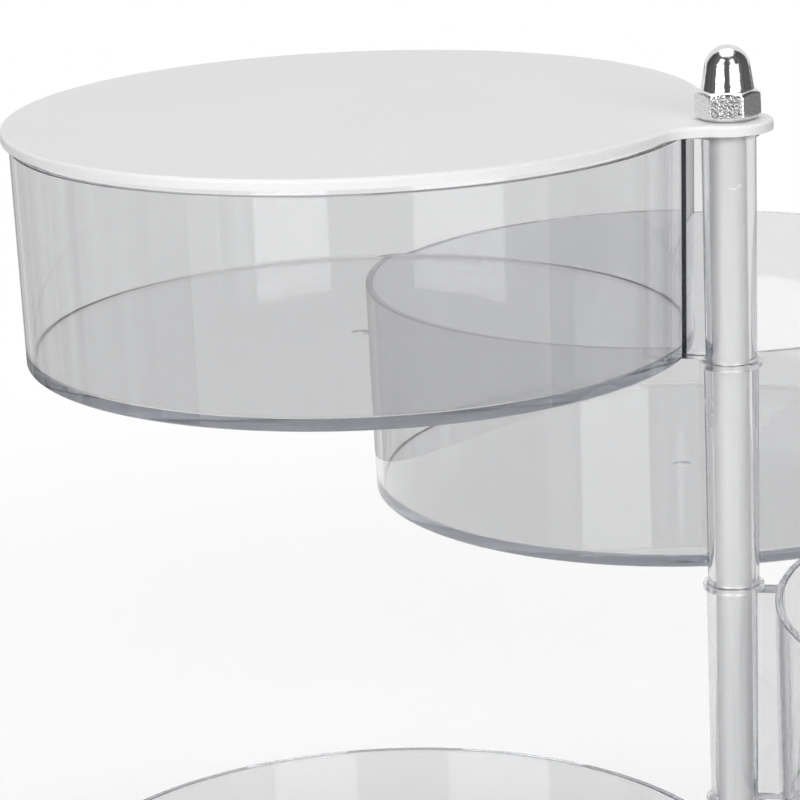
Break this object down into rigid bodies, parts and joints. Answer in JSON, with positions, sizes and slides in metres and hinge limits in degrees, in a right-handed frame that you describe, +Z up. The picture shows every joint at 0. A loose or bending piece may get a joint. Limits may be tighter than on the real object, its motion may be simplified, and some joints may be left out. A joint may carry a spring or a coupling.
{
  "type": "rotating storage box",
  "caption": "Stack of round clear trays that swivel out one by one on a single side post, with a flat white lid on the top tray and a domed nut on the post.",
  "frame": {"origin": "the post's axis where it meets the table, on the base tray's underside", "axes": "+Z up along the post, +X to the viewer's right and +Y away from the viewer, in the picture's view"},
  "size_m": [0.2033, 0.1745, 0.1414],
  "materials": {
    "clear_plastic": "clear, polished moulding",
    "spacer_plastic": "clear, smooth",
    "white_plastic": "white, satin",
    "nut_chrome": "bright plated",
    "rod_steel": "satin drawn"
  },
  "bodies": {
    "base": {"base_tray": "clear_plastic", "spacer_4": "spacer_plastic", "post_rod": "rod_steel", "cap_nut": "nut_chrome"},
    "tray_3": {"tray_3": "clear_plastic", "spacer_3": "spacer_plastic"},
    "tray_2": {"tray_2": "clear_plastic", "spacer_2": "spacer_plastic"},
    "tray_1": {"tray_1": "clear_plastic", "spacer_1": "spacer_plastic"},
    "lid": {"lid": "white_plastic"}
  },
  "joints": [
    {"name": "tray_3_swivel", "type": "hinge", "parent": "base", "child": "tray_3", "pos_m": [0, 0, 0], "axis": [0, 0, 1], "continuous": true},
    {"name": "tray_2_swivel", "type": "hinge", "parent": "base", "child": "tray_2", "pos_m": [0, 0, 0], "axis": [0, 0, 1], "continuous": true},
    {"name": "tray_1_swivel", "type": "hinge", "parent": "base", "child": "tray_1", "pos_m": [0, 0, 0], "axis": [0, 0, 1], "continuous": true},
    {"name": "lid_swivel", "type": "hinge", "parent": "base", "child": "lid", "pos_m": [0, 0, 0], "axis": [0, 0, 1], "continuous": true}
  ]
}
